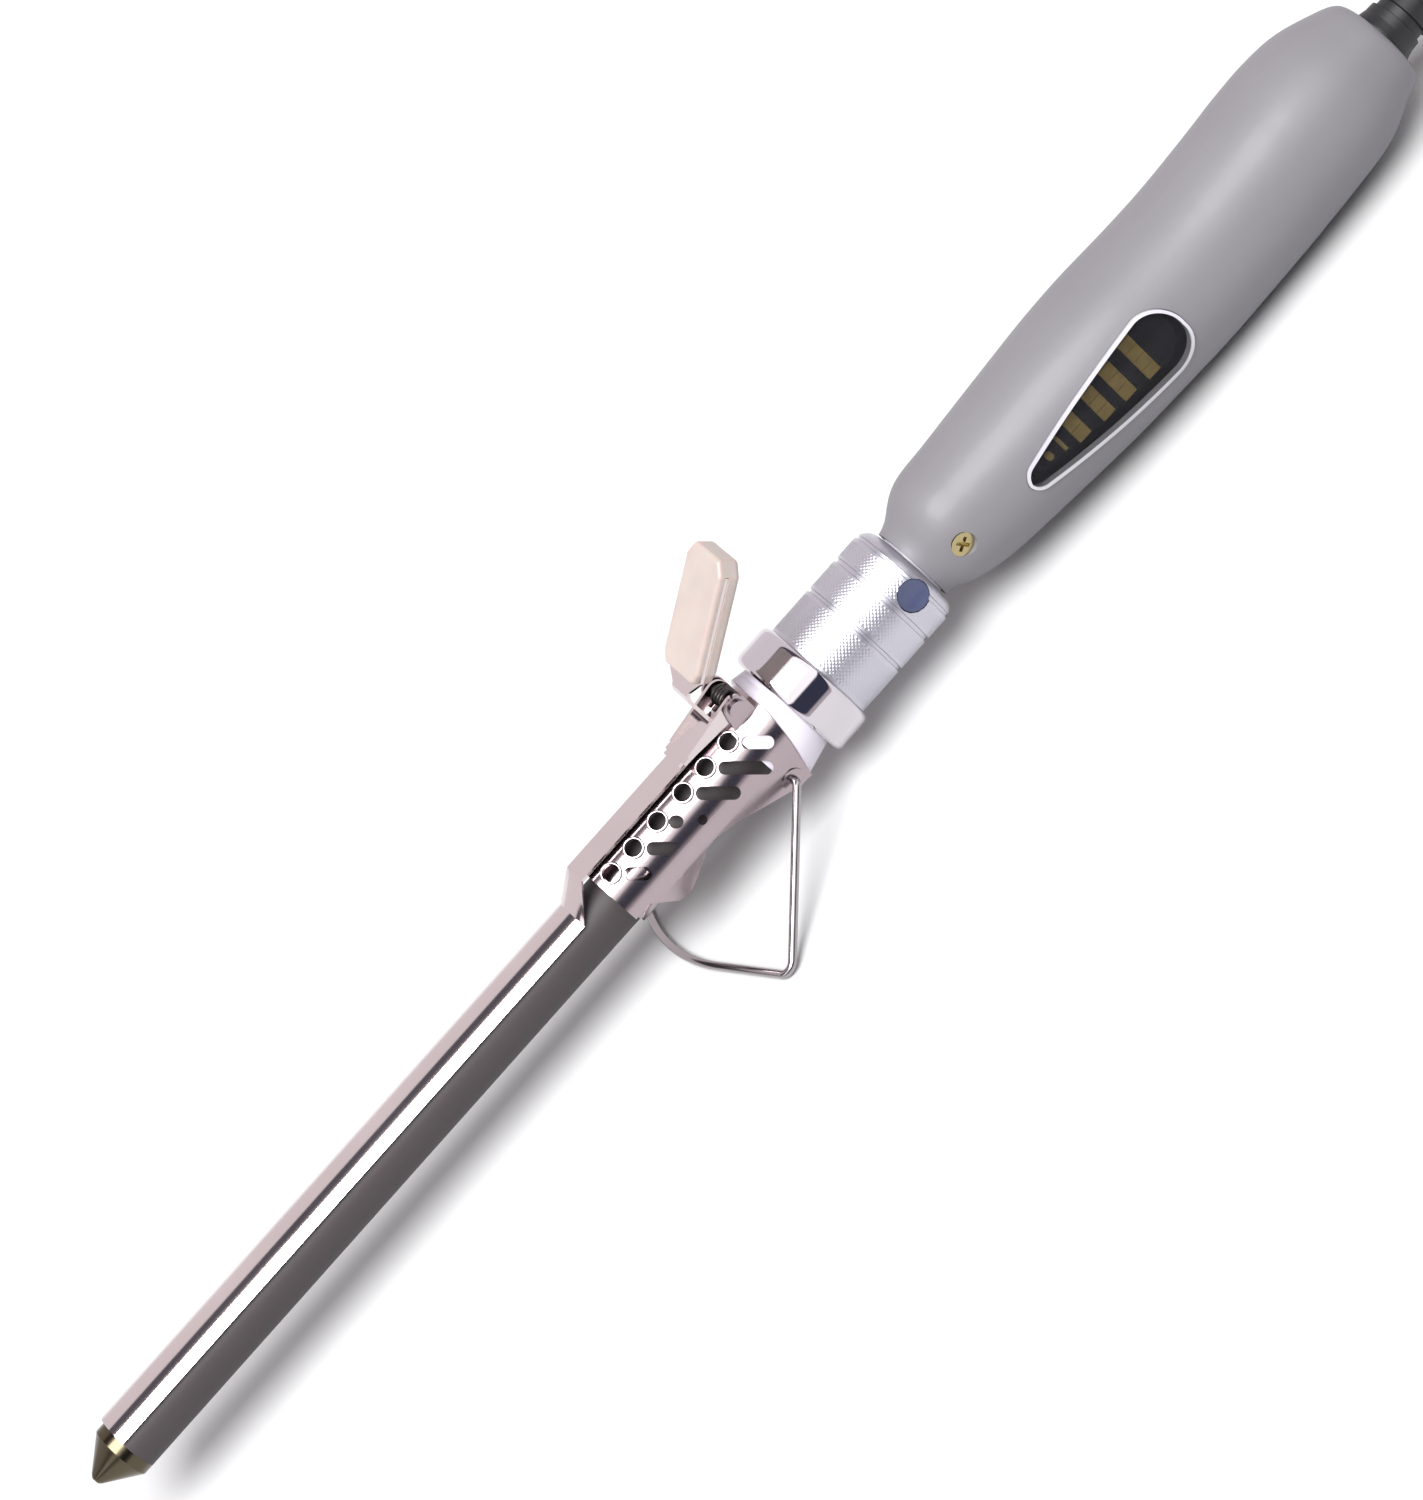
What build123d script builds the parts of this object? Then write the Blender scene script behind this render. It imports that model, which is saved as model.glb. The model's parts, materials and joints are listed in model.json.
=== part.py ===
from build123d import *
import os
from math import atan, cos, degrees, pi, radians, sin, tan

# Curling iron with a spring clip and a wire stand, in millimetres.
# It is drawn along its own axis: X runs from the tip of the cone to the cord, Z is up through
# the clip, and the axis is at y = z = 0.  At the end it is tilted until the stand's foot and the
# belly of the handle both rest on the table, which is z = 0.

# ---- driving dimensions -------------------------------------------------------------------
barrel_diameter = 13.0
barrel_wall = 0.8
cone_length = 7.6
cap_land = 2.4
cap_spigot = 5.0
shroud_start = 156.0        # front edge of the perforated shroud
shroud_length = 48.0
shroud_radius = 10.8
shroud_sheet = 0.7
neck_front = 200.0
ring_start = 207.3
ring_length = 9.7
ring_radius = 13.9
neck_radius = 12.6
neck_rear_radius = 11.0
collar_length = 28.0
collar_radius = 12.2
sleeve_wall = 1.05          # insulating sleeve between the barrel and the collar
handle_gap = 0.5            # shadow line between the collar and the handle
handle_length = 140.0
handle_scale = 1.0          # girth of the handle
handle_wall = 2.2
boot_length = 40.0
cord_diameter = 6.0
tongue_start = 10.2
tongue_end = 148.0
tongue_sheet = 0.6
tongue_gap = 0.4            # between the tongue and the barrel
tongue_half_angle = 44.0
strip_width = 6.2
strip_top = 12.3            # height of the clip's strip where it passes over the shroud
pivot_x = 200.5
pivot_z = 13.4
pin_diameter = 2.4
arm_sheet = 0.8
lever_rise = 22.6           # height of the bend below the thumb grip
lever_angle = 35.0          # thumb grip above the axis
grip_length = 27.5
grip_width = 13.6
grip_over = 1.5             # grip above the lever's plate
grip_under = 2.8            # grip below it
stand_wire_diameter = 1.8
stand_hinge_x = 197.5
stand_hinge_z = -5.0
stand_leg_gap = 0.6          # between a leg and the shroud's wall
stand_drop = 13.8           # foot corner below the hinge
stand_reach = 29.2          # foot corner ahead of the hinge
stand_half_width = 34.0
stand_bow = 16.0            # corner of the foot's two straights, forward of its ends
stand_bow_radius = 36.0
eyelet_radius = 1.5
ear_sheet = 0.8             # the shroud's ears outside, the lever's ears inside
ear_gap = 0.3
set_screw_x = 23.4          # behind the front of the collar
set_screw_elevation = 19.0
set_screw_radius = 3.3
fit = 0.05                  # radial running clearance
slack = 0.15                # clearance round covers and inserts
seat_gap = 0.02             # between pieces that lie on each other

barrel_radius = barrel_diameter / 2
barrel_bore = barrel_radius - barrel_wall
sleeve_bore = barrel_radius + fit
sleeve_radius = sleeve_bore + sleeve_wall
seat_bore = sleeve_radius + fit
shroud_end = shroud_start + shroud_length
collar_start = ring_start + ring_length
collar_end = collar_start + collar_length
handle_start = collar_end + handle_gap
handle_end = handle_start + handle_length
cap_end = cone_length + cap_land
barrel_end = collar_end - 5
wire_radius = stand_wire_diameter / 2
cord_radius = cord_diameter / 2
stand_hinge_half = shroud_radius + wire_radius + stand_leg_gap
shroud_bore = shroud_radius - shroud_sheet
arm_half = strip_width / 2
arm_bend_x = pivot_x - 5.3
ear_start = arm_half + ear_sheet + ear_gap


# ---- small helpers ------------------------------------------------------------------------
def turned(*points):
    return revolve(make_face(Plane.XZ * Polyline(*points, close=True)), Axis.X)


def rod(x0, x1, radius, bore=0, y=0, z=0):
    ring = Circle(radius) - Circle(bore) if bore else Circle(radius)
    return extrude(Plane((x0, y, z), x_dir=(0, 1, 0), z_dir=(1, 0, 0)) * ring, x1 - x0)


def cross_rod(x, z, y0, y1, radius, bore=0):
    ring = Circle(radius) - Circle(bore) if bore else Circle(radius)
    return extrude(Plane((x, y0, z), x_dir=(1, 0, 0), z_dir=(0, 1, 0)) * ring, y1 - y0)


def block(x0, x1, y0, y1, z0, z1):
    return Pos((x0 + x1) / 2, (y0 + y1) / 2, (z0 + z1) / 2) * Box(x1 - x0, y1 - y0, z1 - z0)


def both_sides(shape):
    return shape + mirror(shape, Plane.XZ)


# A plane tangent to a circle round the axis, at an elevation above the near side (-Y).
def side_plane(x, elevation, depth=0):
    out = Vector(0, -cos(radians(elevation)), sin(radians(elevation)))
    return Plane(Vector(x, 0, 0) + out * depth, x_dir=(1, 0, 0), z_dir=out)


# ---- barrel and heater --------------------------------------------------------------------
def make_tip_cap():
    spigot = barrel_bore - fit
    return turned((0, 0), (0, 1.0), (0.5, 1.5), (cone_length, barrel_radius),
                  (cap_end, barrel_radius), (cap_end, spigot),
                  (cap_end + cap_spigot, spigot), (cap_end + cap_spigot, 0))


def make_heater():
    start, end = 45.0, shroud_start - 6
    half_width, half_height, lead = 3.0, 1.2, 0.6
    lead_y, lead_z = 2.0, -1.5
    body = rod(start - 5, end - 2, barrel_bore - 0.1)
    slot = block(start - 6, end, -6, 6, -half_height - 0.1, half_height + 0.1)
    bush_start = barrel_end - 14
    bush = rod(bush_start, barrel_end, barrel_bore - fit)
    leads = []
    for side in (-1, 1):
        bush -= rod(bush_start - 1, barrel_end + 1, lead + 0.1, y=side * lead_y, z=lead_z)
        leads.append(rod(end, board_start, lead, y=side * lead_y, z=lead_z))
    return {"heater_element": block(start, end, -half_width, half_width, -half_height, half_height),
            "heater_clamps": body - slot,
            "lead_bush": bush,
            "heater_leads": Compound(children=leads),
            "thermal_fuse": rod(end + 10, end + 21, 1.3, z=lead_z)}


# ---- shroud, neck, ring and collar --------------------------------------------------------
# Lower edge of the wings as x, z pairs from front to rear.
wing_edge = [(0, 1.2), (4, 1.5), (8.5, -4.0), (11.6, -4.6), (15.6, -2.7), (19.8, -0.3),
             (22.4, 0), (28.4, -1.8), (36, -5.2), (41, -7.4), (44.7, -7.9)]
vent_pitch = [3.5, 10.2, 17.3, 24.9, 31.6, 38.4]
slot_length = [5.6, 6.0, 2.4, 9.0, 11.0, 6.6]
view_of_vents = 61.0        # elevation of the row of round vents
slot_lean = 48.0            # slots run back and down at this angle to the axis


def wing_side(gap=0):
    top = shroud_radius + 4
    points = [(shroud_start + x - gap * (x == 0), z - gap) for x, z in wing_edge]
    points += [(shroud_end + gap, 8.8), (shroud_end + gap, top), (shroud_start - gap, top)]
    return make_face(Plane.XZ * Polyline(*points, close=True))


def arch(radius, depth=9):
    return Circle(radius) + Pos(0, -depth / 2) * Rectangle(2 * radius, depth)


def make_shroud():
    across = Plane((shroud_start, 0, 0), x_dir=(0, 1, 0), z_dir=(1, 0, 0))
    outline = arch(shroud_radius) - arch(shroud_bore, 12)
    shell = extrude(across * outline, shroud_length)
    shell &= extrude(wing_side(), 20, both=True)
    vent_radius, slot_width, web = 1.9, 2.7, 0.5
    reach = vent_radius + web + slot_width / 2
    cuts = []
    for x, length in zip(vent_pitch, slot_length):
        hole = side_plane(shroud_start + x, view_of_vents, 6) * Circle(vent_radius)
        cuts.append(extrude(hole, 6))
        middle = reach + length / 2 - slot_width / 2
        lean = Pos(middle * cos(radians(slot_lean)), 3.75 - middle * sin(radians(slot_lean)))
        slot = lean * Rot(0, 0, -slot_lean) * SlotOverall(max(length, slot_width * 1.1), slot_width)
        cuts.append(extrude(side_plane(shroud_start + x, 40, 4) * slot, 14))
    cuts.append(extrude(side_plane(shroud_start + 23.5, 26, 6) * Circle(1.0), 8))
    for x in vent_pitch:
        lip = side_plane(shroud_start + x, view_of_vents, shroud_radius - 0.4)
        lip = extrude(lip * Circle(vent_radius + 0.45), 0.75)
        shell += both_sides(fillet(lip.edges().filter_by(GeomType.CIRCLE).sort_by(
            Axis((0, 0, 0), (0, -0.5, 0.86)))[-1:], 0.3))
    for cut in cuts:
        shell = shell - cut - mirror(cut, Plane.XZ)
    ear = make_hull((Pos(pivot_x, pivot_z) * Circle(2.6)).edges()
                    + (Pos(pivot_x - 0.5, 9.8) * Rectangle(6, 0.8)).edges())
    ear = extrude(Plane((0, -ear_start, 0), x_dir=(1, 0, 0), z_dir=(0, -1, 0)) * ear, ear_sheet)
    shell += both_sides(ear)
    shell -= cross_rod(pivot_x, pivot_z, -8, 8, pin_diameter / 2 + fit)
    shell -= cross_rod(stand_hinge_x, stand_hinge_z, -14, 14, eyelet_radius + fit)
    return shell


def make_saddle():
    ring = Circle(shroud_bore - seat_gap) - Circle(barrel_radius + fit)
    keep = Pos(0, 6) * Rectangle(40, 12)
    plane = Plane((shroud_start + 0.6, 0, 0), x_dir=(0, 1, 0), z_dir=(1, 0, 0))
    return extrude(plane * (ring & keep), 1.2) + extrude(
        plane * (Circle(barrel_radius + 0.9) - Circle(barrel_radius + fit)), 8)


def make_neck():
    cone = turned((neck_front, sleeve_bore), (neck_front, neck_radius),
                  (ring_start, neck_rear_radius), (ring_start, sleeve_bore))
    cone -= extrude(wing_side(slack), 20, both=True)
    hub = rod(neck_front - 4, ring_start, shroud_bore - seat_gap, sleeve_bore)
    hub -= block(neck_front - 5, neck_front, -12, 12, -12, stand_hinge_z + 3)
    neck = cone + hub
    return neck - block(neck_front - 5, ring_start - 1, -6.5, 6.5, shroud_radius - 0.72, 20)


def make_collar():
    body = rod(collar_start, collar_end, collar_radius, seat_bore)
    rear = body.edges().filter_by(GeomType.CIRCLE).sort_by(Axis.X)
    outer = [e for e in rear if abs(e.radius - collar_radius) < 0.01]
    body = fillet(outer[-1:], min(3.8, collar_radius - seat_bore - 0.5))
    for x in (11.0, 19.0, 25.3):
        groove = collar_start + x
        body -= rod(groove - 0.4, groove + 0.4, collar_radius + 1, collar_radius - 0.5)
    hole = side_plane(collar_start + set_screw_x, set_screw_elevation)
    body -= extrude(hole * Circle(set_screw_radius + 0.1), collar_radius + 2)
    seat = side_plane(collar_start + set_screw_x, set_screw_elevation, seat_bore + 0.15)
    screw = extrude(seat * Circle(set_screw_radius), collar_radius - seat_bore - 0.7)
    dish = side_plane(collar_start + set_screw_x, set_screw_elevation, collar_radius + 7.6)
    screw -= dish * Sphere(8.6)
    return body, screw


def make_ring():
    ring = rod(ring_start, collar_start, ring_radius, seat_bore)
    edges = ring.edges().filter_by(GeomType.CIRCLE)
    return fillet([e for e in edges if abs(e.radius - ring_radius) < 0.01], 1.7)


# ---- handle -------------------------------------------------------------------------------
# Sections of the handle: share of its length, radius, height of the centre above the axis.
handle_sections = [(0, 9.0, 0.1), (0.02, 10.0, 0.25), (0.045, 11.7, 0.5), (0.065, 12.9, 0.75),
                   (0.09, 13.6, 0.6), (0.13, 14.15, 0.2), (0.2, 14.95, 0), (0.282, 15.8, -0.15),
                   (0.36, 16.5, -0.25), (0.44, 16.8, -0.4), (0.54, 16.75, -0.95),
                   (0.62, 16.65, -0.9), (0.718, 16.8, -0.25), (0.78, 16.9, 0.4),
                   (0.832, 16.8, 0.8), (0.875, 16.45, 0.9), (0.904, 15.85, 0.9),
                   (0.93, 14.75, 0.95), (0.965, 12.9, 0.95), (0.985, 11.3, 1.0), (1.0, 9.0, 0.9)]
handle_rings = 32           # evenly spaced sections that the surface passes through
screw_x = handle_start + 9.0
screw_z = 4.0
board_start = handle_start + 21
board_end = board_start + 64
board_y = 1.5
board_sheet = 1.6
window_x = handle_start + 48.5
window_elevation = 11.0
bezel_width = 0.8
window_half = 7.2
window_length = 43.0
clamp_x = handle_start + 102
clamp_half = 6.0
screw_head_y = -12.15 * handle_scale
screw_head = 2.6
end_wall = 3.5
boot_hole = 6.75
boot_start = handle_end - end_wall - 4
boot_end = handle_end + boot_length


def slope(column, i):
    first, last = handle_sections[max(i - 1, 0)], handle_sections[min(i + 1, len(handle_sections) - 1)]
    return (last[column] - first[column]) / (last[0] - first[0])


# A smooth curve through one column of the sections.
def between(share, column):
    i = max(k for k, row in enumerate(handle_sections[:-1]) if row[0] <= share + 1e-9)
    start, end = handle_sections[i], handle_sections[i + 1]
    span = end[0] - start[0]
    t = (share - start[0]) / span
    curve = (1 + 2 * t) * (1 - t) ** 2 * start[column] + t * t * (3 - 2 * t) * end[column]
    return curve + span * t * (1 - t) * ((1 - t) * slope(column, i) - t * slope(column, i + 1))


def handle_form(inset=0.0):
    rings = []
    for i in range(handle_rings + 1):
        share = i / handle_rings
        place = Plane((handle_start + share * handle_length, 0, between(share, 2)),
                      x_dir=(0, 1, 0), z_dir=(1, 0, 0))
        rings.append(place * Circle(between(share, 1) * handle_scale - inset))
    return loft(rings)


# The window's outline: a pointed front, bowed sides and a blunt rear with round corners.
def teardrop(grow=0.0):
    end = window_length / 2
    shoulder, widest = (-end * 0.88, window_half * 0.34), (end * 0.7, window_half)
    nose = ThreePointArc((-end, 0), (-end * 0.97, window_half * 0.19), shoulder)
    side = ThreePointArc(shoulder, (-end * 0.15, window_half * 0.74), widest)
    corner = ThreePointArc(widest, (end * 0.93, window_half * 0.68), (end, 0))
    edge = nose + side + corner
    outline = make_face(edge + mirror(edge, Plane.XZ))
    return offset(outline, amount=grow) if grow else outline


def window_prism(grow, start=4.0, height=20.0):
    return extrude(side_plane(window_x, window_elevation, start) * teardrop(grow), height)


def make_handle():
    cavity = handle_form(handle_wall) & block(handle_start + 5, handle_end - end_wall,
                                              -30, 30, -30, 30)
    form = handle_form()
    shell = form - cavity - rod(handle_start - 1, handle_start + 6, seat_bore)
    shell -= rod(handle_end - end_wall - 1, handle_end + 1, boot_hole)
    boss = cross_rod(screw_x, screw_z, -20, 20, 3.6) & handle_form(0.8)
    shell += boss
    shell -= cross_rod(screw_x, screw_z, -20, 8, 1.5 + fit)
    for x in (board_start + 6, board_end - 6):
        post = cross_rod(x, 0, board_y + board_sheet, 20, 2.4) & handle_form(0.8)
        shell += post
        shell -= cross_rod(x, 0, board_y, 8.5, 1.1 + fit)
    rib = block(clamp_x, clamp_x + 8, -20, 20, -3, 3) & handle_form(0.8)
    rib -= block(clamp_x - 1, clamp_x + 9, -clamp_half - seat_gap, clamp_half + seat_gap, -9, 9)
    shell += rib
    left = shell & block(0, handle_end + 50, -30, 0, -30, 30)
    right = shell & block(0, handle_end + 50, 0, 30, -30, 30)
    left -= window_prism(bezel_width + slack)
    left -= extrude(Plane((screw_x, screw_head_y, screw_z), x_dir=(1, 0, 0), z_dir=(0, -1, 0))
                    * Circle(screw_head + 0.15), 9)
    left -= Plane((screw_x, screw_head_y + 0.9, screw_z), x_dir=(1, 0, 0),
                  z_dir=(0, -1, 0)) * Cone(1.65, screw_head + 0.15, 1.8)
    return left, right


def make_handle_screw():
    face = Plane((screw_x, screw_head_y + 0.9, screw_z), x_dir=(1, 0, 0), z_dir=(0, -1, 0))
    head = face * Cone(1.5, screw_head, 1.8)
    screw = head + cross_rod(screw_x, screw_z, screw_head_y + 1.0, 7.5, 1.5)
    cut = Rectangle(3.2, 0.8) + Rectangle(0.8, 3.2)
    top = Plane((screw_x, screw_head_y + 1.1, screw_z), x_dir=(1, 0, 0), z_dir=(0, -1, 0))
    return screw - extrude(top * Rot(0, 0, 30) * cut, 2)


def make_window():
    shell = handle_form(-0.35) - handle_form(handle_wall - 0.2)
    bezel = (window_prism(bezel_width) - window_prism(slack)) & shell
    pane = handle_form(-0.1) - handle_form(1.6)
    lens = window_prism(0) & pane
    board_top = 11.4 * handle_scale
    board = extrude(side_plane(window_x, window_elevation, board_top - 1.2) * teardrop(-0.9), 1.2)
    face = side_plane(window_x, window_elevation, board_top)
    bars = []
    cell, gap = 3.2, 0.3
    for x, width, count in ((-7.2, 6.4, 2), (-0.8, 8.0, 3), (5.0, 9.2, 3), (11.4, 10.6, 4)):
        step = width / count
        for i in range(count):
            y = (i - (count - 1) / 2) * step
            bars.append(extrude(face * Pos(x, y) * Rectangle(cell, step - gap), 1.35))
    bars.append(extrude(face * Pos(-11.6, 0) * Rectangle(0.8, 3.4), 1.35))
    bars.append(extrude(face * Pos(-15.0, 0) * Circle(0.8), 1.35))
    return bezel, lens, board, Compound(children=bars)


def make_electronics():
    board = block(board_start, board_end, board_y, board_y + board_sheet, -8.5, 8.5)
    screws = []
    for x in (board_start + 6, board_end - 6):
        board -= cross_rod(x, 0, board_y - 1, board_y + 3, 1.2)
        screws.append(cross_rod(x, 0, board_y - 1.2, board_y, 2.2)
                      + cross_rod(x, 0, board_y, 7.5, 1.1))
    parts = [block(board_start + 14, board_start + 24, board_y - 5, board_y, -5, 5),
             rod(board_start + 32, board_start + 46, 3.6, y=board_y - 3.6, z=-3),
             block(board_start + 30, board_start + 38, board_y - 2, board_y, 2, 8)]
    cord_end = clamp_x - 4
    wires = [rod(board_end, cord_end, 0.7, y=board_y + 0.8, z=z) for z in (-1.6, 1.6)]
    clamp = block(clamp_x, clamp_x + 8, -clamp_half, clamp_half, -5, 5)
    clamp -= rod(clamp_x - 1, clamp_x + 9, cord_radius + fit)
    return {"control_board": board, "board_screws": Compound(children=screws),
            "board_parts": Compound(children=parts), "inner_wires": Compound(children=wires),
            "inner_cord": rod(cord_end, boot_start, cord_radius), "cord_clamp": clamp}


def make_boot():
    flange = handle_end - end_wall - 0.05
    outline = [(boot_start, 0), (boot_start, 8.2), (flange, 8.2), (flange, boot_hole - fit),
               (handle_end + 1, boot_hole - fit), (handle_end + 3, 6.2)]
    ribs, pitch, depth = 6, 5.4, 0.7
    for i in range(ribs):
        x = handle_end + 5 + i * pitch
        r = 6.1 - 0.29 * i
        outline += [(x, r), (x + 0.2, r - depth), (x + 2.0, r - depth), (x + 2.2, r)]
    outline += [(boot_end, cord_radius + 1.0), (boot_end, 0)]
    return turned(*outline)


# ---- clip, lever and spring ---------------------------------------------------------------
# Cross-section of the clip's sheet: an arc of given half width, crown and edge heights.
def sheet_face(x, half, crown, edge, inner_half, inner_crown, inner_edge):
    place = Plane((x, 0, 0), x_dir=(0, 1, 0), z_dir=(1, 0, 0))
    line = ThreePointArc((-half, edge), (0, crown), (half, edge))
    line += Line((half, edge), (inner_half, inner_edge))
    line += ThreePointArc((inner_half, inner_edge), (0, inner_crown), (-inner_half, inner_edge))
    line += Line((-inner_half, inner_edge), (-half, edge))
    return place * make_face(line)


def make_clip():
    inner = barrel_radius + tongue_gap
    outer = inner + tongue_sheet
    angle = radians(tongue_half_angle)
    tongue = [outer * sin(angle), outer, outer * cos(angle),
              inner * sin(angle), inner, inner * cos(angle)]
    low = strip_top - 0.7
    strip = [arm_half, strip_top, strip_top - 0.15, arm_half - 0.05, low, low - 0.15]
    middle = [(a + b) / 2 for a, b in zip(tongue, strip)]
    flare = 6.5
    body = extrude(sheet_face(tongue_start, *tongue), tongue_end - tongue_start)
    body += loft([sheet_face(tongue_end, *tongue), sheet_face(tongue_end + flare / 2, *middle),
                  sheet_face(tongue_end + flare, *strip)])
    body += extrude(sheet_face(tongue_end + flare, *strip), arm_bend_x - 1 - tongue_end - flare)
    return body


def make_lever():
    arm_low = strip_top + seat_gap
    mid = arm_low + arm_sheet / 2
    slope = radians(lever_angle)
    lean = Vector(cos(slope), 0, sin(slope))
    bend = Vector(arm_bend_x, 0, lever_rise)
    tab_start = arm_bend_x - 11
    path = FilletPolyline((tab_start, 0, mid), (arm_bend_x, 0, mid), tuple(bend),
                          tuple(bend + lean * 6), radius=2.2)
    start = Plane((tab_start, 0, mid), x_dir=(0, 1, 0), z_dir=(1, 0, 0))
    arm = sweep(start * Rectangle(strip_width, arm_sheet), path=path)
    tab = block(tab_start + 1, arm_bend_x - 2.4, -arm_half - ear_sheet, arm_half + ear_sheet,
                arm_low, arm_low + arm_sheet)
    ear = make_hull((Pos(pivot_x, pivot_z) * Circle(2.3)).edges()
                    + (Pos(arm_bend_x - 5.4, arm_low + 0.6) * Rectangle(6, 1.2)).edges())
    ear = extrude(Plane((0, -arm_half, 0), x_dir=(1, 0, 0), z_dir=(0, -1, 0)) * ear, ear_sheet)
    arm = arm + tab + both_sides(ear)
    arm -= cross_rod(pivot_x, pivot_z, -8, 8, pin_diameter / 2 + fit)
    pad = Plane(bend + lean * 3.4, x_dir=lean, z_dir=(-sin(slope), 0, cos(slope)))
    half = grip_width / 2
    plate = Polyline((-2.0, -arm_half), (1.6, 0.2 - half), (grip_length - 3.2, 0.2 - half),
                     (grip_length - 3.2, half - 0.2), (1.6, half - 0.2), (-2.0, arm_half), close=True)
    arm += extrude(pad * make_face(plate), arm_sheet / 2, both=True)
    outline = Polyline((1.0, -half * 0.8), (3.6, -half), (grip_length - 3, -half),
                       (grip_length, -half * 0.7), (grip_length, half * 0.7), (grip_length - 3, half),
                       (3.6, half), (1.0, half * 0.8), close=True)
    face = make_face(outline)
    face = fillet(face.vertices(), 1.2)
    pocket = arm_sheet / 2 + seat_gap
    grip = extrude(pad.offset(-pocket - grip_under) * face, grip_over + grip_under + 2 * pocket)
    ends = grip.faces().sort_by(Axis((0, 0, 0), pad.z_dir))
    grip = fillet(ends[-1].edges(), min(0.9, grip_over - 0.2))
    ends = grip.faces().sort_by(Axis((0, 0, 0), pad.z_dir))
    grip = fillet(ends[0].edges(), 1.4)
    slot = Pos(grip_length / 2 - 3, 0) * Rectangle(grip_length, grip_width + 4)
    grip -= extrude(pad * slot, pocket, both=True)
    return arm, grip


def make_pivot():
    outer = ear_start + ear_sheet
    pin = cross_rod(pivot_x, pivot_z, -outer - 0.1, outer + 0.1, pin_diameter / 2)
    pin += cross_rod(pivot_x, pivot_z, -outer - 0.7, -outer - 0.05, 1.9)
    pin += cross_rod(pivot_x, pivot_z, outer + 0.05, outer + 0.7, 1.9)
    wire, coil, turns, pitch = 0.4, 1.88, 4.25, 1.0
    height = pitch * turns
    rise = pitch / (2 * pi)
    first = (coil, -3.4, -3.4 * rise / coil)
    last = (-4.2, coil, height + 4.2 * rise / coil)
    helix = Helix(pitch=pitch, height=height, radius=coil)
    path = Wire([Line(first, helix @ 0).edge(), helix.edge(), Line(helix @ 1, last).edge()])
    spring = sweep(Plane(path @ 0, z_dir=path % 0) * Circle(wire), path=path, is_frenet=True)
    lie = Plane((pivot_x, height / 2, pivot_z), x_dir=(0, 0, -1), z_dir=(0, -1, 0))
    return pin, lie * spring


# ---- stand --------------------------------------------------------------------------------
handle_belly, belly_share = max((radius * handle_scale - lift, share)
                                for share, radius, lift in handle_sections)
belly_x = handle_start + belly_share * handle_length
foot_x = stand_hinge_x - stand_reach
foot_z = stand_hinge_z - stand_drop
tilt = degrees(atan((-foot_z + wire_radius - handle_belly) / (belly_x - foot_x)))


def make_stand():
    inner = shroud_bore - wire_radius
    half = stand_half_width
    bow = stand_bow
    low = foot_z - bow * tan(radians(tilt))
    near = [(stand_hinge_x, -inner, stand_hinge_z), (stand_hinge_x, -stand_hinge_half, stand_hinge_z),
            (foot_x, -half, foot_z)]
    far = [(x, -y, z) for x, y, z in reversed(near)]
    corners = [1.5, 2.4, stand_bow_radius, 2.4, 1.5]
    path = FilletPolyline(*near, (foot_x - bow, 0, low), *far, radius=corners)
    start = Plane(near[0], x_dir=(1, 0, 0), z_dir=(0, -1, 0))
    wire = sweep(start * Circle(wire_radius), path=path)
    wall = shroud_radius
    eyelet = cross_rod(stand_hinge_x, stand_hinge_z, -wall - 0.3, -wall + shroud_sheet,
                       eyelet_radius, wire_radius + 0.07)
    eyelet += cross_rod(stand_hinge_x, stand_hinge_z, -wall - 0.3, -wall - 0.02, 2.5,
                        wire_radius + 0.07)
    return wire, both_sides(eyelet)


# ---- cord, laid on the table in the settled frame -----------------------------------------
hank_x, hank_half, hank_low = 372.0, 32.0, 1.0
hank_turn, hank_inner_turn, hank_layers, tie_room = 26.0, 20.0, 3, 2.6
lead_route = [(230, 0.5, 15.4), (252, -1.5, 8.2), (279, -8.5, 3.1), (310, -20.5, 3.1),
              (340, -hank_turn, 4.0)]
tail_route = [(hank_x - 46, -20, 16.0), (hank_x - 30, -19.4, 16.0), (hank_x - 11, -13.8, 21.6),
              (hank_x + 4, -8.4, 25.5), (hank_x + 16, -7, 26)]
plug_x, plug_y, plug_z = hank_x + 16.0, -7.0, 26.0
plug_body_length, plug_sleeve, plug_height = 32.0, 12.0, 13.7
pin_spacing, pin_length, plug_pin_diameter = 18.6, 19.0, 4.0


def cord_tube(points):
    runs = [Vector(b) - Vector(a) for a, b in zip(points, points[1:])]
    radii = []
    for a, b in zip(runs, runs[1:]):
        turn = radians(a.get_angle(b))
        radii.append(0.45 * min(a.length, b.length) / tan(turn / 2))
    print("cord radii", [round(r) for r in radii])
    path = FilletPolyline(*points, radius=radii)
    tube = sweep(Plane(points[0], z_dir=runs[0]) * Circle(cord_radius), path=path)
    ideal = pi * cord_radius ** 2 * path.length
    print("cord length", round(path.length, 1), "volume share", round(tube.volume / ideal, 4))
    return tube


def racetrack(half, turn):
    return Pos(hank_x, 0) * SlotCenterToCenter(2 * half, 2 * turn)


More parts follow.
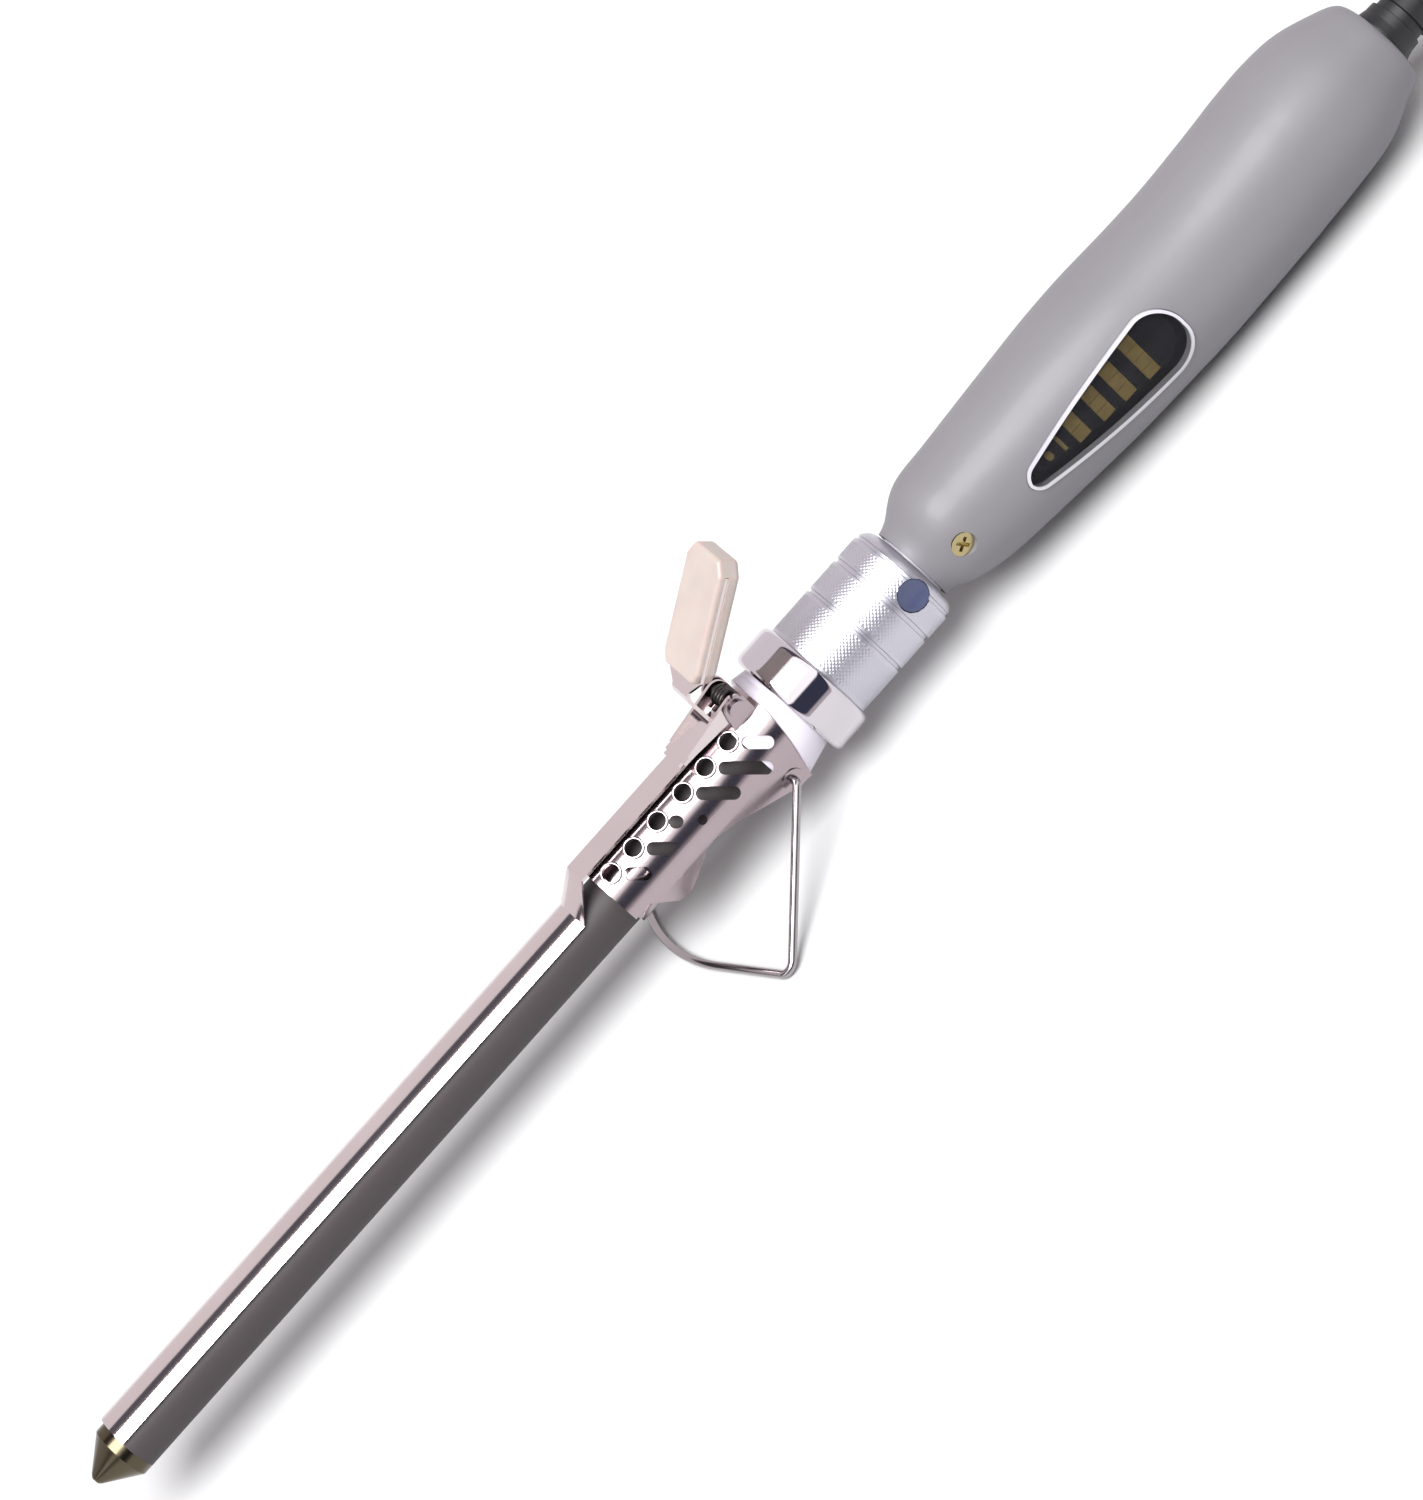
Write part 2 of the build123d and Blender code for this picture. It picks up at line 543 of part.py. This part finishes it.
def make_cord(exit_point, keep_clear):
    height = hank_layers * cord_diameter
    ring = racetrack(hank_half, hank_turn + cord_radius) - racetrack(
        hank_half, hank_inner_turn - cord_radius)
    hank = extrude(Pos(0, 0, hank_low) * ring, height)
    lead = cord_tube([tuple(exit_point)] + lead_route) - hank
    tail = cord_tube(tail_route) - hank
    half, sheet = hank_turn + cord_radius, 0.8
    top = hank_low + height + tie_room
    band = block(hank_x - 39, hank_x - 31, -half - 0.95, half + 0.95, 0.05, top)
    band -= block(hank_x - 40, hank_x - 30, -half - 0.95 + sheet, half + 0.95 - sheet,
                  0.05 + sheet, top - sheet)
    front = plug_x + plug_sleeve
    width, tall = 17.6, plug_height / 2
    outline = Polyline((front, -8), (front + 6, -width), (front + plug_body_length, -width),
                       (front + plug_body_length, width), (front + 6, width), (front, 8), close=True)
    body = extrude(Pos(0, plug_y, plug_z - tall) * make_face(outline), plug_height)
    body = fillet(body.edges().filter_by(Axis.Z), 3)
    top = body.faces().sort_by(Axis.Z)[-1]
    low = body.faces().sort_by(Axis.Z)[0]
    body = fillet(top.edges() + low.edges(), 1.6)
    sleeve = Plane((plug_x, plug_y, plug_z), x_dir=(0, 1, 0), z_dir=(1, 0, 0)) * Pos(
        0, 0, plug_sleeve / 2 + 0.5) * Cone(4.0, 5.6, plug_sleeve + 1)
    body = body + sleeve
    pins = []
    for side in (-1, 1):
        y = plug_y + side * pin_spacing / 2
        start = front + plug_body_length
        pins.append(chamfer_tip(rod(start, start + pin_length, plug_pin_diameter / 2, y=y,
                                    z=plug_z)))
    lead -= keep_clear
    tail -= body
    return {"cord_lead": lead, "cord_hank": hank, "hank_tie": band, "cord_tail": tail,
            "plug_body": body, "plug_pins": Compound(children=pins)}


def chamfer_tip(pin):
    return chamfer(pin.edges().filter_by(GeomType.CIRCLE).sort_by(Axis.X)[-1:], 0.8)


# ---- the whole iron -----------------------------------------------------------------------
def make_iron():
    parts = {"tip_cap": make_tip_cap(),
             "barrel_tube": rod(cap_end, barrel_end, barrel_radius, barrel_bore)}
    parts.update(make_heater())
    parts["shroud"] = make_shroud()
    parts["front_saddle"] = make_saddle()
    parts["neck"] = make_neck()
    parts["trim_ring"] = make_ring()
    parts["collar"], parts["collar_set_screw"] = make_collar()
    parts["insulator_sleeve"] = rod(ring_start + 0.4, handle_start + 4, sleeve_radius, sleeve_bore)
    parts["handle_left"], parts["handle_right"] = make_handle()
    parts["handle_screw"] = make_handle_screw()
    bezel, lens, board, bars = make_window()
    parts.update({"window_bezel": bezel, "window_lens": lens, "display_board": board,
                  "led_bars": bars})
    parts.update(make_electronics())
    parts["cord_boot"] = make_boot()
    parts["clip_tongue"] = make_clip()
    parts["lever_arm"], parts["lever_grip"] = make_lever()
    parts["pivot_pin"], parts["torsion_spring"] = make_pivot()
    parts["stand_wire"], parts["stand_eyelets"] = make_stand()
    return parts


iron = {name: Rot(0, tilt, 0) * shape for name, shape in make_iron().items()}
box = Compound(children=[Compound(children=s.solids()) for s in iron.values()]).bounding_box()
settle = Pos(-(box.min.X + box.max.X) / 2, 0, -box.min.Z)
parts = {name: settle * shape for name, shape in iron.items()}
exit_point = (settle * Rot(0, tilt, 0) * Pos(boot_end, 0, 0)).position
parts.update(make_cord(exit_point, parts["cord_boot"]))
print("tilt", round(tilt, 4), "settle", settle.position, "cord exit", exit_point)

os.makedirs("parts", exist_ok=True)
for name, shape in parts.items():
    export_step(shape, f"parts/{name}.step")
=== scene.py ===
import json
from math import cos, pi, radians, sin, sqrt

import bmesh
import bpy
from mathutils import Matrix, Vector


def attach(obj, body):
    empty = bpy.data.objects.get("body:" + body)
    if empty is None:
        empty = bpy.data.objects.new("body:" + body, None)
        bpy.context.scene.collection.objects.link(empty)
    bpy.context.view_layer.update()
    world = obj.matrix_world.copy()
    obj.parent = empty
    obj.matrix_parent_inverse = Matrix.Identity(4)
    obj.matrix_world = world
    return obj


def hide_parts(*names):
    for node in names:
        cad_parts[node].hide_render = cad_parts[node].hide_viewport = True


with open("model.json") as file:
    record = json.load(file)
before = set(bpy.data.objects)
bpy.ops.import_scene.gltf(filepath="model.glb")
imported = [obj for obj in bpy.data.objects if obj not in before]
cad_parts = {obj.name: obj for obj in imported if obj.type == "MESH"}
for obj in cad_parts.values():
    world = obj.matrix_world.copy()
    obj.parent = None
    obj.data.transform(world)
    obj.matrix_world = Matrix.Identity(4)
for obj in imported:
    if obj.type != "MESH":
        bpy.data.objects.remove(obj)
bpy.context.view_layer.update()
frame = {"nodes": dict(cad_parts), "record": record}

nodes = frame["nodes"]
mounts = {mount["name"]: mount for mount in frame["record"]["mounts"]}
tip = Vector(mounts["barrel_tip"]["pos_m"])
along = -Vector(mounts["barrel_tip"]["axis"]).normalized()   # from the cone to the cord
near = Vector((0, -1, 0))                                    # the side with the window
up = near.cross(along)
mm = 0.001


def place(x, y, z):   # millimetres along the iron, to the far side and up from its axis
    return tip + (along * x - near * y + up * z) * mm


def putInScene(name, data):
    made = bpy.data.objects.new(name, data)
    bpy.context.scene.collection.objects.link(made)
    return made


# the camera looks down at the near side, rolled so that the iron runs from corner to corner
camera = {"lens": 135, "sensor": 36, "frameHeight": 0.3, "clipEnd": 20,
          "aim": 191.0, "offAxis": 5.3,       # millimetres along the iron, and off its axis, upwards
          "elevation": 40, "slant": 48.27}    # degrees


def makeCamera():
    roll, slant = radians(camera["elevation"]), radians(camera["slant"])
    out = up * sin(roll) + near * cos(roll)
    down = near * sin(roll) - up * cos(roll)
    right = along * cos(slant) + down * sin(slant)
    top = along * sin(slant) - down * cos(slant)
    distance = camera["frameHeight"] * camera["lens"] / camera["sensor"]
    aim = place(camera["aim"], 0, 0) - down * camera["offAxis"] * mm
    data = bpy.data.cameras.new("studioCamera")
    data.lens, data.sensor_width, data.clip_end = camera["lens"], camera["sensor"], camera["clipEnd"]
    made = putInScene("studioCamera", data)
    matrix = Matrix((right, top, out)).transposed().to_4x4()
    matrix.translation = aim + out * distance
    made.matrix_world = matrix
    bpy.context.scene.camera = made


makeCamera()
print("camera placed")


class Signal:   # a socket that can be used in sums
    def __init__(self, finish, socket):
        self.finish, self.socket = finish, socket

    def join(self, operation, other, swapped=False):
        pair = (other, self) if swapped else (self, other)
        return self.finish.node("ShaderNodeMath", {"operation": operation}, {0: pair[0], 1: pair[1]})

    def __add__(self, other):
        return self.join("ADD", other)

    def __radd__(self, other):
        return self.join("ADD", other, True)

    def __sub__(self, other):
        return self.join("SUBTRACT", other)

    def __rsub__(self, other):
        return self.join("SUBTRACT", other, True)

    def __mul__(self, other):
        return self.join("MULTIPLY", other)

    def __rmul__(self, other):
        return self.join("MULTIPLY", other, True)

    def __truediv__(self, other):
        return self.join("DIVIDE", other)

    def __rtruediv__(self, other):
        return self.join("DIVIDE", other, True)


class NodeTree:
    def __init__(self, tree):
        self.tree = tree

    def node(self, kind, settings, inputs, output=0):
        made = self.tree.nodes.new(kind)
        for key, value in settings.items():
            setattr(made, key, value)
        for key, value in inputs.items():
            if isinstance(value, Signal):
                self.tree.links.new(value.socket, made.inputs[key])
            else:
                made.inputs[key].default_value = value
        return Signal(self, made.outputs[output])

    def dot(self, vector, direction):
        return self.node("ShaderNodeVectorMath", {"operation": "DOT_PRODUCT"},
                         {0: vector, 1: tuple(direction)}, "Value")

    def mix(self, factor, first, second):   # sockets 0, 6, 7 and 2 are the colour mix's own
        return self.node("ShaderNodeMix", {"data_type": "RGBA"}, {0: factor, 6: first, 7: second}, 2)

    def smooth(self, signal, low, high, first=0.0, last=1.0):
        return self.node("ShaderNodeMapRange", {"interpolation_type": "SMOOTHSTEP"},
                         {0: signal, 1: low, 2: high, 3: first, 4: last})


class Finish(NodeTree):
    def __init__(self, name, constants):
        self.material = bpy.data.materials.new(name)
        self.material.use_nodes = True
        super().__init__(self.material.node_tree)
        self.shader = self.tree.nodes["Principled BSDF"]
        for socket, value in constants.items():
            self.shader.inputs[socket].default_value = value

    def feed(self, **signals):   # Base_Color feeds the socket Base Color
        for socket, signal in signals.items():
            self.tree.links.new(signal.socket, self.shader.inputs[socket.replace("_", " ")])
        return self

    def position(self):
        return self.node("ShaderNodeTexCoord", {}, {}, "Object")

    def reach(self, direction):   # millimetres from the cone's tip, along a direction
        return (self.dot(self.position(), direction) - tip.dot(direction)) * (1 / mm)

    def noise(self, scale, detail=3.0, rough=0.5, stretch=None):   # stretched along, near and up
        vector = self.position()
        if stretch:
            vector = self.node("ShaderNodeCombineXYZ", {}, {
                0: self.reach(along) * (stretch[0] * mm), 1: self.reach(near) * (stretch[1] * mm),
                2: self.reach(up) * (stretch[2] * mm)})
        return self.node("ShaderNodeTexNoise", {}, {"Vector": vector, "Scale": scale, "Detail": detail,
                                                    "Roughness": rough})

    def bump(self, height, strength, distance):
        return self.node("ShaderNodeBump", {}, {"Height": height, "Strength": strength,
                                                "Distance": distance})


def colour(red, green, blue):
    return (red, green, blue, 1.0)


def scaled(tone, share):
    return colour(*(part * share for part in tone[:3]))


# metal: broad clouds in tone and gloss, and a fine grain along the iron
metalGrain = {"cloudScale": 45, "grainScale": 900, "grainStretch": (1, 40, 40), "darkest": 0.82,
              "bumpDistance": 0.0001}


def metalFinish(name, tone, rough, wear=0.02, depth=0.02):
    finish = Finish(name, {"Metallic": 1.0})
    broad = finish.noise(metalGrain["cloudScale"], 4)
    fine = finish.noise(metalGrain["grainScale"], 2, 0.6, stretch=metalGrain["grainStretch"])
    return finish.feed(Base_Color=finish.mix(broad, scaled(tone, metalGrain["darkest"]), tone),
                       Roughness=rough + wear * (broad - 0.5) * 2 + wear * fine,
                       Normal=finish.bump(fine, depth, metalGrain["bumpDistance"]))


# plastic, ceramic and rubber: a pebbled skin
pebbledSkin = {"cloudScale": 60, "pebbleScale": 2600, "spread": 0.05, "bumpDistance": 0.0002}


def plasticFinish(name, tone, rough, depth=0.06):
    finish = Finish(name, {"Specular IOR Level": 0.5})
    spread = pebbledSkin["spread"]
    broad = finish.noise(pebbledSkin["cloudScale"], 3)
    pebble = finish.noise(pebbledSkin["pebbleScale"], 3, 0.6)
    return finish.feed(Base_Color=finish.mix(broad, scaled(tone, 1 - spread * 2), tone),
                       Roughness=rough + spread * (broad - 0.5),
                       Normal=finish.bump(pebble, depth, pebbledSkin["bumpDistance"]))


finishes = {
    "tip": metalFinish("glossBronze", colour(0.11, 0.092, 0.06), 0.2),
    "barrel": plasticFinish("charcoalCeramic", colour(0.044, 0.035, 0.038), 0.6, depth=0.1),
    "clip": metalFinish("polishedSpringSteel", colour(0.74, 0.66, 0.66), 0.12),
    # the shroud's metal is toned darker than the clip's: partly its own tone, partly painted shade
    # standing for the dim surroundings its sides reflect
    "shroud": metalFinish("polishedShroudWithPaintedShade", colour(0.46, 0.39, 0.41), 0.17),
    "stand": metalFinish("polishedWire", colour(0.42, 0.39, 0.40), 0.14),
    "spring": metalFinish("darkSpring", colour(0.10, 0.09, 0.09), 0.3),
    "neck": plasticFinish("paleNeck", colour(0.70, 0.66, 0.74), 0.35),
    "ring": metalFinish("chromeRing", colour(0.70, 0.66, 0.70), 0.05, wear=0.01, depth=0.005),
    "collar": metalFinish("satinAluminium", colour(0.62, 0.61, 0.67), 0.36, depth=0.12),
    # the set screw's slate blue is partly the screw's own dark colour, partly a painted dark reflection
    # on the collar
    "setScrewAndReflection": plasticFinish("slateScrewAndReflection", colour(0.05, 0.06, 0.12), 0.3),
    "brass": metalFinish("brassScrew", colour(0.50, 0.42, 0.22), 0.3),
    # the pale bezel round the window is a painted highlight: the lit edge of the window's recess in the
    # handle
    "bezel": plasticFinish("paleBezelPaintedHighlight", colour(0.50, 0.49, 0.53), 0.25),
    "board": plasticFinish("blackBoard", colour(0.010, 0.010, 0.014), 0.5),
    "black": plasticFinish("blackRubber", colour(0.006, 0.006, 0.008), 0.5),
    "ceramic": plasticFinish("whiteCeramic", colour(0.75, 0.73, 0.68), 0.5),
    "lead": plasticFinish("redLead", colour(0.4, 0.03, 0.02), 0.4),
    "nickel": metalFinish("nickelPin", colour(0.75, 0.73, 0.68), 0.18),
}

# silver paint: fine flakes under a satin coat
silverPaint = {"shadow": colour(0.140, 0.136, 0.147), "light": colour(0.176, 0.171, 0.185),
               "flake": colour(0.31, 0.30, 0.32), "flakeShare": 0.25, "flakeScale": 5200,
               "flakeEdges": (0.45, 0.7), "metalness": (0.05, 0.3), "cloudScale": 28,
               "streakScale": 30, "streakStretch": (0.6, 14, 14), "rough": 0.52, "streakRough": 0.08}


def handleFinish():
    finish = Finish("silverPaint", {"Specular IOR Level": 0.35, "Coat Roughness": 0.2,
                                    "Coat Weight": 0.12})
    flake = finish.noise(silverPaint["flakeScale"], 2, 0.7)
    cloud = finish.noise(silverPaint["cloudScale"], 3)
    streak = finish.noise(silverPaint["streakScale"], 3, stretch=silverPaint["streakStretch"])
    base = finish.mix(cloud, silverPaint["shadow"], silverPaint["light"])
    tone = finish.mix(silverPaint["flakeShare"] * flake, base, silverPaint["flake"])
    return finish.feed(Base_Color=tone,
                       Roughness=silverPaint["rough"] + silverPaint["streakRough"] * streak,
                       Metallic=finish.smooth(flake, *silverPaint["flakeEdges"],
                                              *silverPaint["metalness"]),
                       Normal=finish.bump(flake, 0.05, 0.00006))


# translucent blush plastic on the lever
blushPlastic = {"dark": colour(0.36, 0.30, 0.275), "light": colour(0.46, 0.40, 0.37),
                "cloudScale": 140, "pebbleScale": 1800, "rough": 0.32, "cloudRough": 0.1}


def gripFinish():
    finish = Finish("blushGrip", {"Subsurface Weight": 0.5, "Subsurface Scale": 0.002, "IOR": 1.5})
    cloud = finish.noise(blushPlastic["cloudScale"], 3)
    tone = finish.mix(cloud, blushPlastic["dark"], blushPlastic["light"])
    pebble = finish.noise(blushPlastic["pebbleScale"], 2)
    return finish.feed(Base_Color=tone,
                       Roughness=blushPlastic["rough"] + blushPlastic["cloudRough"] * cloud,
                       Normal=finish.bump(pebble, 0.05, 0.0001))


# the smoked window, through which the bars show
smokedWindow = {"dark": colour(0.01, 0.01, 0.012), "light": colour(0.02, 0.02, 0.025),
                "hazeScale": 300, "alpha": 0.34, "hazeAlpha": 0.06, "rough": 0.06, "hazeRough": 0.05}


def lensFinish():
    finish = Finish("smokedLens", {"IOR": 1.4, "Specular IOR Level": 0.25})
    haze = finish.noise(smokedWindow["hazeScale"], 2)
    return finish.feed(Base_Color=finish.mix(haze, smokedWindow["dark"], smokedWindow["light"]),
                       Alpha=smokedWindow["alpha"] + smokedWindow["hazeAlpha"] * haze,
                       Roughness=smokedWindow["rough"] + smokedWindow["hazeRough"] * haze)


# the lit bars behind the window
amberBars = {"dark": colour(0.24, 0.15, 0.045), "light": colour(0.40, 0.31, 0.09), "glowScale": 700}


def ledFinish():
    finish = Finish("amberBars", {"Emission Strength": 0.35, "Roughness": 0.5})
    glow = finish.noise(amberBars["glowScale"], 2)
    tone = finish.mix(glow, amberBars["dark"], amberBars["light"])
    return finish.feed(Base_Color=tone, Emission_Color=tone)


finishes["handle"], finishes["grip"] = handleFinish(), gripFinish()
finishes["lens"], finishes["led"] = lensFinish(), ledFinish()
coats = {
    "tip": ["tip_cap"], "barrel": ["barrel_tube"],
    "clip": ["clip_tongue", "lever_arm"],
    "shroud": ["shroud", "stand_eyelets", "pivot_pin", "front_saddle", "board_screws"],
    "stand": ["stand_wire"], "spring": ["torsion_spring"], "neck": ["neck", "insulator_sleeve"],
    "ring": ["trim_ring"], "collar": ["collar", "heater_clamps"], "setScrewAndReflection": ["collar_set_screw"],
    "handle": ["handle_left", "handle_right"], "brass": ["handle_screw"], "bezel": ["window_bezel"],
    "lens": ["window_lens"], "led": ["led_bars"], "board": ["display_board", "control_board"],
    "black": ["board_parts", "cord_clamp", "cord_boot", "inner_cord", "plug_body", "hank_tie",
              "cord_lead", "cord_hank", "cord_tail"],
    "grip": ["lever_grip"], "ceramic": ["heater_element", "lead_bush"],
    "lead": ["heater_leads", "inner_wires", "thermal_fuse"], "nickel": ["plug_pins"],
}


def coatNodes():
    for coat, names in coats.items():
        for name in names:
            materials = nodes[name].data.materials
            materials.clear()
            materials.append(finishes[coat].material)


coatNodes()
print("finishes made")

# the collar: a diamond knurl between plain grooves, and a recess for the set screw
collar = {"grooves": (11.0, 19.0, 25.3), "grooveHalf": 0.45, "grooveDepth": 0.5, "shoulder": 3.6,
          "land": 0.7, "diamonds": 80, "knurlDepth": 0.11, "knurlSlope": 5, "screwX": 23.4,
          "screwElevation": 19.0, "screwRadius": 3.4, "screwFloor": 0.4, "rings": 176,
          "around": 480, "sharpAngle": 35}


def collarRadius(x, angle, radius, length):   # the outer surface, in millimetres
    groove = min(abs(x - at) for at in collar["grooves"])
    if groove < collar["grooveHalf"]:
        return radius - collar["grooveDepth"]
    back = x - (length - collar["shoulder"])
    if back > 0:
        radius -= collar["shoulder"] - sqrt(max(collar["shoulder"] ** 2 - back ** 2, 0))
    if min(x, groove - collar["grooveHalf"]) < collar["land"] or back > 0:
        return radius
    pitch = 2 * pi * radius / collar["diamonds"]
    turn = angle * radius / pitch
    first, second = turn + x / pitch, turn - x / pitch
    ridge = min(abs(first - round(first)), abs(second - round(second)))
    return radius - collar["knurlDepth"] * max(0.0, 1 - ridge * collar["knurlSlope"])


def inScrewRecess(x, angle, outer):
    centre = radians(collar["screwElevation"])
    away = sqrt((x - collar["screwX"]) ** 2 + (outer * sin(angle - centre)) ** 2)
    return away < collar["screwRadius"] and cos(angle - centre) > 0


def collarRing(shape, x, radiusAt):   # one closed row of points round the axis
    angles = [2 * pi * k / collar["around"] for k in range(collar["around"])]
    return [shape.verts.new(place(x, -radiusAt(angle) * cos(angle), radiusAt(angle) * sin(angle)))
            for angle in angles]


def collarSize():   # its start along the iron, its length, its outer radius and its bore
    verts = [(vertex.co - tip) / mm for vertex in nodes["collar"].data.vertices]
    low, high = min(v.dot(along) for v in verts), max(v.dot(along) for v in verts)
    radii = [sqrt(v.dot(up) ** 2 + v.dot(near) ** 2) for v in verts]
    return low, high - low, max(radii), min(radii)


def makeCollar():
    low, length, outer, bore = collarSize()
    shape = bmesh.new()
    rows = []
    for x in [length * i / collar["rings"] for i in range(collar["rings"] + 1)]:
        def radiusAt(angle):
            recessed = inScrewRecess(x, angle, outer)
            return bore + collar["screwFloor"] if recessed else collarRadius(x, angle, outer, length)
        rows.append(collarRing(shape, low + x, radiusAt))
    for x in (length, 0):
        rows.append(collarRing(shape, low + x, lambda angle: bore))
    for first, second in zip(rows, rows[1:] + rows[:1]):
        for k in range(collar["around"]):
            n = (k + 1) % collar["around"]
            shape.faces.new((first[k], first[n], second[n], second[k]))
    bmesh.ops.recalc_face_normals(shape, faces=shape.faces)
    mesh = bpy.data.meshes.new("knurledCollar")
    shape.to_mesh(mesh)
    shape.free()
    mesh.shade_smooth()
    mesh.set_sharp_from_angle(angle=radians(collar["sharpAngle"]))
    piece = putInScene("knurledCollar", mesh)
    mesh.materials.append(finishes["collar"].material)
    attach(piece, "root")
    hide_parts("collar")


makeCollar()
print("collar knurled")

# the mains lead: out of the boot, down to the table, round the hank and on top of it to the plug
lead = {"diameter": 6.0, "hankX": 372.0, "hankHalf": 32.0, "outerTurn": 26.0, "innerTurn": 20.0,
        "layers": 3, "low": 1.0, "perEnd": 8, "bevelSteps": 6, "curveSteps": 8}
leadRoute = [(230, 0.5, 15.4), (252, -1.5, 8.2), (279, -8.5, 3.1), (310, -20.5, 3.1), (340, -26, 4.0)]
tailRoute = [(342, -19.4, 16.0), (361, -13.8, 21.6), (376, -8.4, 25.5), (388, -7, 26)]


def hankPoints():   # each turn goes round both ends and moves over to the next at the second
    heights = [lead["low"] + lead["diameter"] * (layer + 0.5) for layer in range(lead["layers"])]
    pair = [lead["outerTurn"], lead["innerTurn"]]
    turns = [(turn, height) for layer, height in enumerate(heights)
             for turn in (pair if layer % 2 == 0 else pair[::-1])]
    points = []
    for (turn, height), (nextTurn, nextHeight) in zip(turns, turns[1:] + turns[-1:]):
        for side in (1, -1):
            for step in range(lead["perEnd"] + 1):
                angle = pi * step / lead["perEnd"] - pi / 2
                share = (1 + sin(angle)) / 2 if side < 0 else 0
                width = turn + (nextTurn - turn) * share
                points.append((lead["hankX"] + side * (lead["hankHalf"] + width * cos(angle)),
                               side * width * sin(angle), height + (nextHeight - height) * share))
            if side > 0:
                points.append((lead["hankX"], turn, height))
    return points


def makeCord():
    bootLength = max((vertex.co - tip).dot(along) for vertex in nodes["cord_boot"].data.vertices)
    exitPoint = tip + along * bootLength
    route = [tuple(exitPoint / mm)] + leadRoute + hankPoints() + tailRoute
    data = bpy.data.curves.new("mainsLead", "CURVE")
    data.dimensions, data.bevel_depth = "3D", lead["diameter"] / 2 * mm
    data.bevel_resolution, data.resolution_u = lead["bevelSteps"], lead["curveSteps"]
    spline = data.splines.new("NURBS")
    spline.points.add(len(route) - 1)
    for point, (x, y, z) in zip(spline.points, route):
        point.co = (x * mm, y * mm, z * mm, 1)
    spline.order_u, spline.use_endpoint_u = 3, True
    data.use_fill_caps = True
    piece = putInScene("mainsLead", data)
    data.materials.append(finishes["black"].material)
    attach(piece, "root")
    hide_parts("cord_lead", "cord_hank", "cord_tail")


makeCord()
print("lead laid")

# the studio: a pale floor, a wide sun and a sky of plain bands for the metal to reflect
studio = {"paper": (0.50, 0.50, 0.505), "fibreLift": 1.04, "floorHalf": 3, "bandBlur": 0.006,
          "sunHeight": 68, "sunLean": -12, "sunWidth": 40, "sunStrength": 4.6}
skyBands = [   # degrees from the near horizon, up and over to the far one; then colour, strength
    (-180, (0.72, 0.66, 0.68), 0.8), (6, (0.05, 0.055, 0.09), 1.0), (36, (1.0, 1.0, 1.0), 1.6),
    (88, (0.35, 0.05, 0.09), 0.6), (92, (0.10, 0.10, 0.12), 1.0), (118, (0.84, 0.78, 0.80), 1.1)]


def makeSky():
    world = bpy.data.worlds.new("studio")
    bpy.context.scene.world = world
    world.use_nodes = True
    sky = NodeTree(world.node_tree)
    toward = sky.node("ShaderNodeTexCoord", {}, {}, "Generated")
    angle = sky.node("ShaderNodeMath", {"operation": "ARCTAN2"},
                     {0: sky.dot(toward, up), 1: sky.dot(toward, near)})
    share = angle / (2 * pi) + 0.5
    firstBand, otherBands = skyBands[0], skyBands[1:]
    tone = scaled(firstBand[1], firstBand[2])
    for start, tint, strength in otherBands:
        edge = start / 360 + 0.5
        inBand = sky.smooth(share, edge - studio["bandBlur"], edge + studio["bandBlur"])
        tone = sky.mix(inBand, tone, scaled(tint, strength))
    background = world.node_tree.nodes["Background"]
    world.node_tree.links.new(tone.socket, background.inputs["Color"])


def makeFloor():
    half = studio["floorHalf"]
    shape = bmesh.new()
    corners = [shape.verts.new((x * half, y * half, 0)) for x, y in ((-1, -1), (1, -1), (1, 1), (-1, 1))]
    shape.faces.new(corners)
    mesh = bpy.data.meshes.new("floor")
    shape.to_mesh(mesh)
    shape.free()
    paper = Finish("palePaper", {"Specular IOR Level": 0.2})
    fibre = paper.noise(120, 4)
    lifted = scaled(studio["paper"], studio["fibreLift"])
    paper.feed(Base_Color=paper.mix(fibre, colour(*studio["paper"]), lifted),
               Roughness=0.8 + 0.1 * fibre)
    mesh.materials.append(paper.material)
    putInScene("floor", mesh)


def makeSun():
    data = bpy.data.lights.new("softSun", "SUN")
    data.energy, data.angle = studio["sunStrength"], radians(studio["sunWidth"])
    sun = putInScene("softSun", data)
    height, lean = radians(studio["sunHeight"]), radians(studio["sunLean"])
    toward = (up * sin(height) + near * cos(height)) * cos(lean) + along * sin(lean)
    sun.rotation_euler = (-toward).to_track_quat("-Z", "Y").to_euler()


bpy.context.scene.view_settings.view_transform = "Standard"
makeSky()
makeFloor()
makeSun()
print("studio lit")
